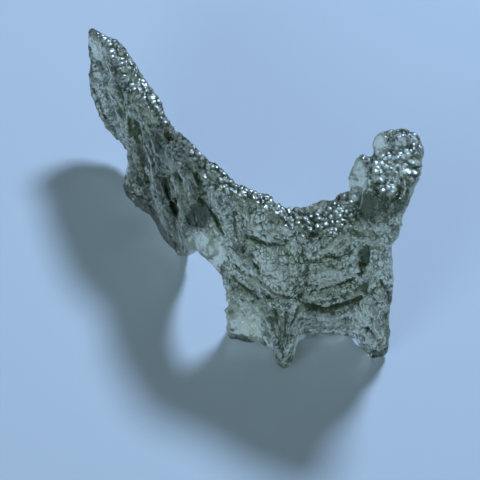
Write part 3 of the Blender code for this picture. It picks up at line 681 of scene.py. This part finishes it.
@dataclass
class CupRelief:
    """Geometry Nodes that press cups, pits and small lumps into the skin, sized in metres."""

    fine_spacing: float = 0.44 * MM  # distance between the small cups
    fine_depth: float = 0.10 * MM  # their depth
    broad_spacing: float = 0.64 * MM  # distance between the large cups
    broad_depth: float = 0.19 * MM  # their depth
    lean: float = 0.28  # how steeply the bottom of a cup may lean, as a slope
    tread: float = 0.95  # how far the cups level themselves into treads on a slope
    pit_spacing: float = 0.60 * MM  # distance between the pits of the etched faces
    pit_depth: float = 0.05 * MM  # their depth
    lump_spacing: float = 0.7 * MM  # distance between the soft lumps
    lump_height: float = 0.09 * MM  # their height
    seed: float = 4.0  # start of the pattern

    def tree(self, material: bpy.types.Material) -> bpy.types.NodeTree:
        """Builds the node tree.

        Args:
            material: What the skin is made of.

        Returns:
            A Geometry Nodes tree with one named input for each size.
        """
        made = bpy.data.node_groups.new("cup_relief", "GeometryNodeTree")
        face = made.interface
        face.new_socket("Geometry", in_out="INPUT", socket_type="NodeSocketGeometry")
        for label in self.inputs():
            face.new_socket(label, in_out="INPUT", socket_type="NodeSocketFloat")
        face.new_socket("Geometry", in_out="OUTPUT", socket_type="NodeSocketGeometry")
        net = Wiring(made)
        given = net.nodes.new("NodeGroupInput").outputs
        position = net.nodes.new("GeometryNodeInputPosition").outputs[0]
        normal = net.nodes.new("GeometryNodeInputNormal").outputs[0]
        cup, size, polish = (net.named(label) for label in ("cup", "cup_size", "polish"))

        def scaled_place(spacing: Socket, shift: float) -> Socket:
            """Returns the position in units of a spacing, shifted by the seed."""
            place = net.vector("SCALE", position, net.scalar("DIVIDE", 1.0, spacing))
            return net.vector("ADD", place, net.plus(given["Seed"], shift))

        def cups(label: str, shift: float) -> tuple[Socket, Socket]:
            """Adds a layer of leaning cups.

            Args:
                label: Start of the names of its inputs.
                shift: What keeps its pattern apart from the others.

            Returns:
                Its height, and the distance from the middles of the cups.
            """
            spacing = given[label + " Spacing"]
            place = scaled_place(spacing, shift)
            cells = net.scatter(place, "F1", CUP_SCATTER).outputs
            bowl = net.scalar("POWER", net.times(cells["Distance"], BOWL_SPREAD), 2.0)
            bowl = net.minus(0.5, net.scalar("MINIMUM", bowl, 1.0))
            apart = net.vector("SUBTRACT", place, cells["Position"])
            rise = net.vector("DOT_PRODUCT", apart, normal)
            apart = net.vector("SUBTRACT", apart, net.vector("SCALE", normal, rise))
            turn = net.vector("SUBTRACT", cells["Color"], (0.5, 0.5, 0.5))
            slope = net.times(net.minus(LEAN_FALL, size), given["Lean"])
            tilt = net.times(net.vector("DOT_PRODUCT", apart, turn), slope)
            steep = net.scalar("MAXIMUM", net.vector("DOT_PRODUCT", normal, LEVEL), LEAST_TREAD)
            step = net.scalar("DIVIDE", net.vector("DOT_PRODUCT", apart, LEVEL), steep)
            lean = net.times(net.minus(tilt, net.times(step, given["Tread"])), spacing)
            lean = net.scalar("MINIMUM", net.scalar("MAXIMUM", lean, -MOST_LEAN), MOST_LEAN)
            return net.plus(net.times(bowl, given[label + " Depth"]), lean), cells["Distance"]

        fine, fine_away = cups("Fine", 0.0)
        broad, broad_away = cups("Broad", BROAD_SHIFT)
        both = net.plus(fine, net.times(net.minus(broad, fine), size))
        away = net.plus(fine_away, net.times(net.minus(broad_away, fine_away), size))

        dots = net.scatter(scaled_place(given["Pit Spacing"], PIT_SHIFT), "F1").outputs["Distance"]
        dot = net.scalar("MAXIMUM", net.minus(1.0, net.times(dots, PIT_SHARPNESS)), 0.0)
        pits = net.times(net.times(dot, given["Pit Depth"]), -1.0)
        swells = {"Vector": scaled_place(given["Lump Spacing"], LUMP_SHIFT), "Scale": 1.0,
                  "Detail": LUMP_DETAIL, "Roughness": LUMP_ROUGHNESS}
        lumps = net.add("ShaderNodeTexNoise", swells).outputs["Fac"]
        lump = net.times(net.minus(lumps, 0.5), net.times(given["Lump Height"], 2.0))
        rough = net.times(net.plus(pits, lump), net.minus(1.0, polish))
        total = net.plus(net.times(both, cup), rough)

        store = {"Geometry": given["Geometry"], "Name": "crease", "Value": away}
        keep = net.add("GeometryNodeStoreNamedAttribute", store, data_type="FLOAT", domain="POINT")
        shift = {"Geometry": keep.outputs["Geometry"], "Offset": net.vector("SCALE", normal, total)}
        place = net.add("GeometryNodeSetPosition", shift)
        real = net.add("GeometryNodeRealizeInstances", {"Geometry": place.outputs["Geometry"]})
        glass = {"Geometry": real.outputs["Geometry"], "Material": material}
        coat = net.add("GeometryNodeSetMaterial", glass)
        net.add("NodeGroupOutput", {"Geometry": coat.outputs["Geometry"]})
        return made

    def inputs(self) -> dict[str, float]:
        """Returns the tree's named inputs and their values."""
        return {item.name.replace("_", " ").title(): getattr(self, item.name) for item in fields(self)}

    def press(self, piece: Object, material: bpy.types.Material) -> None:
        """Adds the relief to a piece as a modifier, with its sizes set.

        Args:
            piece: The mesh object to press the cups into.
            material: What it is made of.
        """
        tree = self.tree(material)
        modifier = piece.modifiers.new("cups", "NODES")
        modifier.node_group = tree
        values = self.inputs()
        for item in tree.interface.items_tree:
            if item.in_out == "INPUT" and item.name in values:
                modifier[item.identifier] = values[item.name]


@dataclass
class Moldavite:
    """The piece of glass, grown as a fine skin over the solid and carved."""

    voxel: float = 0.115 * MM  # cell of the skin before it is carved
    soften: int = 4  # passes that take the facets of the solid off
    soften_share: float = 0.5  # how far each pass moves a point towards its neighbours
    triangles: int = 192000  # size of the finished mesh
    swell: float = 0.05  # how far the skin is let out, in millimetres, to make up for the softening
    comb_width: float = 0.34  # width of a fibre, in millimetres
    comb_length: float = 2.4  # its length
    comb_height: float = 0.095  # how far it stands up
    cross_width: float = 0.30  # width of the ripples across the fibres
    cross_length: float = 0.9  # their length
    cross_height: float = 0.045  # how far they stand up
    wander: float = 0.5  # how far the fibres stray from the strokes, in radians
    sole: float = 0.12 * MM  # points lower than this are set on the floor
    seed: int = 11  # start of the random grain
    drawing: Drawing = field(default_factory=Drawing)  # view in which the skin is set out
    finish: GlassFinish = field(default_factory=GlassFinish)  # colour and polish of the glass
    cups: CupRelief = field(default_factory=CupRelief)  # cups, pits and lumps pressed into it

    def build(self) -> Object:
        """Builds the piece.

        Returns:
            The finished mesh object, in place of the solid.
        """
        piece = self.skin()
        self.carve(piece)
        material = self.finish.material()
        self.cups.press(piece, material)
        self.bake(piece)
        self.thin(piece)
        self.fit(piece)
        piece.data.shade_smooth()
        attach(piece, "root")
        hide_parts(NODE)
        return piece

    def skin(self) -> Object:
        """Copies the solid and grows an even, softened skin over it.

        Returns:
            The new object.
        """
        mesh = bmesh.new()
        mesh.from_mesh(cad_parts[NODE].data)
        bmesh.ops.remove_doubles(mesh, verts=mesh.verts, dist=WELD)
        bmesh.ops.recalc_face_normals(mesh, faces=mesh.faces[:])
        piece = meshed("etched_glass", mesh)
        grow = piece.modifiers.new("grow", "REMESH")
        grow.mode = "VOXEL"
        grow.voxel_size = self.voxel
        smooth = piece.modifiers.new("soften", "SMOOTH")
        smooth.factor = self.soften_share
        smooth.iterations = self.soften
        self.bake(piece)
        return piece

    def bake(self, piece: Object) -> None:
        """Replaces a piece's mesh with what its modifiers make of it.

        Args:
            piece: The piece.
        """
        bpy.context.view_layer.update()
        graph = bpy.context.evaluated_depsgraph_get()
        data = bpy.data.meshes.new_from_object(piece.evaluated_get(graph))
        old = piece.data
        piece.modifiers.clear()
        piece.data = data
        bpy.data.meshes.remove(old)

    def carve(self, piece: Object) -> None:
        """Cuts the listed forms into the skin, combs it with fibres and stores how it looks.

        Args:
            piece: The skin.
        """
        data = piece.data
        points = read(data.vertices, "co").astype(float) / MM
        normals = read(data.vertex_normals, "vector").astype(float)
        facing = np.clip((normals @ self.drawing.out) * FACING_GAIN, 0.0, 1.0)
        drawn = self.drawing.places(points)
        move = np.zeros(len(points))
        for line in LINES:
            move += facing * self.line_relief(drawn, line)
        for hollow in HOLLOWS:
            move += facing * hollow.profile(drawn)
        # Painted shade and painted light: patches that paint the glass darker where faces lie in shade, and
        # lighter where light glows through it.
        painted_shade_and_light = np.zeros(len(points))
        for patch in SHADE_AND_LIGHT_PATCHES:
            painted_shade_and_light += facing * patch.profile(drawn)
        polish, cup, size = self.cupping(drawn, normals, facing)
        way, ridge, turn = self.directions(drawn, points, normals)
        rim = np.clip(RIM_START - RIM_GAIN * np.abs(normals @ self.drawing.out), 0.0, 1.0)

        fibres = self.fibres(points, way, self.comb_width, self.comb_length, self.seed)
        sideways = np.cross(normals, way)
        across = self.fibres(points, sideways, self.cross_width, self.cross_length, self.seed + 1)
        cracks = CRACK_LEVEL - CRACK_DROP * np.exp(-CRACK_BEND * np.maximum(fibres, CRACK_LOW))
        ridges = RIDGE_HEIGHT * np.exp(RIDGE_BEND * fibres) - RIDGE_SINK
        combed = cracks * (1.0 - ridge) + ridges * ridge
        grain = (self.comb_height * combed + self.cross_height * across) * (1.0 - GLOSS_WEAR * polish)
        grain *= (HIDDEN_GRAIN + (1.0 - HIDDEN_GRAIN) * facing) * (1.0 - RIM_WEAR * rim)
        move += grain + self.swell
        points += normals * move[:, None]
        data.vertices.foreach_set("co", (points * MM).astype(np.float32).ravel())

        # Painted shade: grooves, pits and the cracks between the fibres are painted darker, where shade falls
        # in them.
        shade = PLAIN_SHADE + (move - grain - self.swell) * FORM_SHADE + grain * GRAIN_SHADE + painted_shade_and_light
        # Painted light: the thin rim, where it is not glossy, is painted lighter, as if light glowed through
        # the edge; the lighter patches may rise above plain.
        shade = np.clip(shade + RIM_PAINTED_LIGHT * rim * (1.0 - polish), 0.0, 1.0 + np.maximum(painted_shade_and_light, 0.0))
        # Hidden skin keeps only a share of the painted shade.
        shade = 1.0 - (1.0 - shade) * (HIDDEN_SHADE + (1.0 - HIDDEN_SHADE) * facing)
        # The tint with its painted shade and light is stored as relief.
        layers = {"relief": shade, "polish": polish, "cup": cup, "cup_size": size, "rim": rim,
                  "ridge": ridge, "turn_cos": turn[:, 0], "turn_sin": turn[:, 1], "shown": facing}
        for label, values in layers.items():
            layer = data.attributes.new(label, "FLOAT", "POINT")
            layer.data.foreach_set("value", values.astype(np.float32))
        group = piece.vertex_groups.new(name="hidden")
        hidden = np.flatnonzero(np.maximum(facing, polish) < THIN_BELOW)
        group.add(hidden.tolist(), 1.0, "REPLACE")
        data.update()

    def cupping(self, drawn: Array, normals: Array, facing: Array) -> tuple[Array, Array, Array]:
        """Finds where the skin has cups.

        Args:
            drawn: Places of the skin in the drawing.
            normals: Normals of the skin.
            facing: 1 where the skin shows in the drawing, 0 behind.

        Returns:
            How glossy each place is, how deep its cups are and how large, from 0 to 1.
        """
        polish = np.clip((normals[:, 2] - CUP_LEVEL) * CUP_GAIN, 0.0, 1.0)
        cup = polish.copy()
        size = np.zeros(len(drawn))
        for band in BANDS:
            points = np.array(band.points).reshape(-1, 2)
            away = np.full(len(drawn), FAR)
            for start, end in zip(points, points[1:]):
                rest = offset(drawn, start, end)
                away = np.minimum(away, np.hypot(rest[:, 0], rest[:, 1]))
            inside = np.clip((band.width - away) * BAND_GAIN, 0.0, 1.0) * facing
            polish = np.maximum(polish, inside)
            cup += (band.depth - cup) * inside
            size += (band.size - size) * inside
        return polish, cup, size

    def line_relief(self, drawn: Array, line: Line) -> Array:
        """Shapes the skin along one line.

        Args:
            drawn: Places of the skin in the drawing.
            line: The line to cut.

        Returns:
            How far each place moves outwards, in millimetres.
        """
        points = np.array(line.points).reshape(-1, 2)
        reach = line.width * (LEDGE_REACH if line.cut is Cut.LEDGE else LINE_REACH)
        low = points.min(axis=0) - reach
        high = points.max(axis=0) + reach
        near = np.flatnonzero(((drawn > low) & (drawn < high)).all(axis=1))
        best = np.full(len(near), FAR)
        side = np.ones(len(near))
        here = drawn[near]
        for start, end in zip(points, points[1:]):
            along = end - start
            away = offset(here, start, end)
            distance = np.hypot(away[:, 0], away[:, 1])
            closer = distance < best
            best = np.where(closer, distance, best)
            turn = along[0] * away[:, 1] - along[1] * away[:, 0]
            side = np.where(closer, np.where(turn >= 0, 1.0, -1.0), side)
        move = np.zeros(len(drawn))
        move[near] = line.profile(best, side)
        return move

    def directions(self, drawn: Array, points: Array, normals: Array) -> tuple[Array, Array, Array]:
        """Blends the strokes over the skin.

        Args:
            drawn: Places of the skin in the drawing.
            points: Points of the skin, in millimetres.
            normals: Normals of the skin.

        Returns:
            The direction in space of the fibres at each place, how far they stand up as ridges, and
            the cosine and sine of twice their angle in the drawing.
        """
        doubled = np.zeros((len(drawn), 2))
        weight = np.full(len(drawn), LEAST_WEIGHT)
        ridge = np.zeros(len(drawn))
        for stroke in STROKES:
            near = np.exp(-((drawn[:, 0] - stroke.across) ** 2 + (drawn[:, 1] - stroke.up) ** 2) / 2.0)
            near = near * stroke.strength + TINY
            angle = 2 * math.radians(stroke.angle)
            doubled += near[:, None] * np.array((math.cos(angle), math.sin(angle)))
            weight += near
            ridge += near * stroke.ridge
        angle = 0.5 * np.arctan2(doubled[:, 1], doubled[:, 0])
        angle += self.wander * (self.noise(points / WANDER_SPACING, self.seed + 2) - 0.5)
        turn = np.stack((np.cos(2.0 * angle), np.sin(2.0 * angle)), axis=1)
        way = np.cos(angle)[:, None] * np.array(ACROSS) + np.sin(angle)[:, None] * self.drawing.up
        hidden = (normals @ self.drawing.out) < HIDDEN_BELOW
        way[hidden] = HIDDEN_WAY
        way -= normals * (way * normals).sum(axis=1)[:, None]
        way /= np.linalg.norm(way, axis=1)[:, None] + TINY
        return way, np.where(hidden, HIDDEN_RIDGE, ridge / weight), turn

    def noise(self, places: Array, seed: int) -> Array:
        """Makes smooth random numbers that change over a distance of about 1.

        Args:
            places: Where they are wanted.
            seed: Start of the random numbers.

        Returns:
            A number from 0 to 1 for each place.
        """
        table = np.random.default_rng(seed).random(NOISE_SIDE ** 3)
        low = np.floor(places).astype(np.int64)
        part = places - low
        part = part * part * (3.0 - 2.0 * part)
        value = np.zeros(len(places))
        for corner in range(8):
            step = np.array((corner & 1, (corner >> 1) & 1, corner >> 2))
            cell = (low + step) % NOISE_SIDE
            share = np.where(step == 1, part, 1.0 - part).prod(axis=1)
            value += share * table[(cell[:, 0] * NOISE_SIDE + cell[:, 1]) * NOISE_SIDE + cell[:, 2]]
        return value

    def fibres(self, points: Array, way: Array, width: float, length: float, seed: int) -> Array:
        """Draws random grain out into fibres.

        Args:
            points: Points of the skin, in millimetres.
            way: Direction of the fibres at each of them.
            width: Width of a fibre.
            length: Its length.
            seed: Start of the random grain.

        Returns:
            The height of the fibres at each point, mostly between -2 and 2.
        """
        value = np.zeros(len(points))
        count = 2 * round(length / width) + 1
        for step in np.linspace(-0.5, 0.5, count):
            value += self.noise((points + way * (step * length)) / width, seed)
        value -= value.mean()
        return np.clip(value / value.std(), -GRAIN_LIMIT, GRAIN_LIMIT)

    def thin(self, piece: Object) -> None:
        """Collapses the flattest triangles, most of them on hidden skin, down to the number wanted.

        Args:
            piece: The piece.
        """
        cut = piece.modifiers.new("thin", "DECIMATE")
        cut.ratio = min(1.0, self.triangles / (2 * len(piece.data.polygons)))
        cut.use_collapse_triangulate = True
        cut.vertex_group = "hidden"
        cut.vertex_group_factor = THIN_MORE
        self.bake(piece)

    def fit(self, piece: Object) -> None:
        """Keeps every point inside the solid's box and sets the soles flat on the floor.

        Args:
            piece: The piece.
        """
        low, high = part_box(NODE)
        points = np.clip(read(piece.data.vertices, "co"), np.array(low), np.array(high))
        sole = points[:, 2] < low[2] + self.sole
        points[sole, 2] = low[2]
        piece.data.vertices.foreach_set("co", points.astype(np.float32).ravel())
        piece.data.update()


@dataclass
class Studio:
    """Floor, lights and camera."""

    picture_width: float = 43.2 * MM  # width of the view where the piece stands
    distance: float = 1.0  # how far off the camera is
    elevation: float = math.radians(52.0)  # angle at which it looks down
    sensor: float = 36.0  # width of its sensor, in millimetres
    view_limit: float = 10.0  # how far off it still sees
    target: Triple = (-1.272, -6.087, 8.0)  # point at the middle of the view, in millimetres
    floor_size: float = 0.6  # half the width of the floor
    floor_colour: Colour = (0.465, 0.49, 0.53, 1.0)  # colour of the floor
    floor_roughness: float = 0.9  # its roughness
    floor_gloss: float = 0.1  # how strongly it mirrors
    key_colour: Triple = (0.50, 0.70, 1.0)  # colour of the lamp behind the piece
    fill_colour: Triple = (0.60, 0.86, 1.0)  # colour of the broad lamp
    key_power: float = 2.16  # power of the lamp behind, in watts
    key_width: float = 0.085  # its width
    key_distance: float = 0.40  # how far off it hangs
    key_azimuth: float = math.radians(29.5)  # how far it stands to the right of straight behind
    key_elevation: float = math.radians(52.5)  # how high it stands
    fill_power: float = 0.76  # power of the broad lamp, in watts
    fill_width: float = 0.26  # its width
    fill_place: Triple = (-0.22, -0.33, 0.19)  # where it hangs
    sky: Colour = (0.62, 0.86, 1.0, 1.0)  # colour of the sky
    sky_strength: float = 0.165  # its strength

    def build(self) -> None:
        """Builds the floor, the lights and the camera."""
        self.floor()
        self.light()
        self.camera()

    def floor(self) -> None:
        """Lays a plain pale floor under the piece."""
        mesh = bmesh.new()
        bmesh.ops.create_grid(mesh, x_segments=1, y_segments=1, size=self.floor_size)
        made = meshed("floor", mesh)
        material = bpy.data.materials.new("pale_floor")
        material.use_nodes = True
        shader = material.node_tree.nodes["Principled BSDF"].inputs
        shader["Base Color"].default_value = self.floor_colour
        shader["Roughness"].default_value = self.floor_roughness
        shader["Specular IOR Level"].default_value = self.floor_gloss
        made.data.materials.append(material)

    def light(self) -> None:
        """Hangs one lamp behind the piece and a broad soft one in front of it, under a dim sky."""
        flat = math.cos(self.key_elevation)
        east, north = math.sin(self.key_azimuth) * flat, math.cos(self.key_azimuth) * flat
        aim = Vector((east, north, math.sin(self.key_elevation)))
        self.lamp("key", self.key_power, self.key_colour, self.key_width, aim * self.key_distance)
        self.lamp("fill", self.fill_power, self.fill_colour, self.fill_width, Vector(self.fill_place))
        world = bpy.data.worlds.new("sky")
        world.use_nodes = True
        back = world.node_tree.nodes["Background"]
        back.inputs["Color"].default_value = self.sky
        back.inputs["Strength"].default_value = self.sky_strength
        bpy.context.scene.world = world
        bpy.context.scene.view_settings.view_transform = "Standard"

    def lamp(self, label: str, power: float, colour: Triple, width: float, place: Vector) -> None:
        """Hangs a round lamp that shines at the middle of the piece.

        Args:
            label: Name of the lamp.
            power: Its power in watts.
            colour: Colour of its light.
            width: Its width.
            place: Where it hangs.
        """
        lamp = bpy.data.lights.new(label, "AREA")
        lamp.shape = "DISK"
        lamp.size = width
        lamp.energy = power
        lamp.color = colour
        made = placed(label, lamp)
        made.location = place
        made.rotation_euler = place.to_track_quat("Z", "Y").to_euler()

    def camera(self) -> None:
        """Sets a long lens on the piece."""
        data = bpy.data.cameras.new("camera")
        data.sensor_width = self.sensor
        data.lens = data.sensor_width * self.distance / self.picture_width
        data.clip_end = self.view_limit
        made = placed("camera", data)
        away = Vector((0.0, -math.cos(self.elevation), math.sin(self.elevation)))
        made.location = Vector(self.target) * MM + away * self.distance
        made.rotation_euler = away.to_track_quat("Z", "Y").to_euler()
        bpy.context.scene.camera = made


def main() -> None:
    """Builds the glass and the studio."""
    logging.basicConfig(level=logging.INFO)
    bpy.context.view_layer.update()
    glass = Moldavite().build()
    LOG.info("%s: %d faces", glass.name, len(glass.data.polygons))
    Studio().build()
    LOG.info("studio: floor, lamps and camera")


if __name__ == "__main__":
    main()
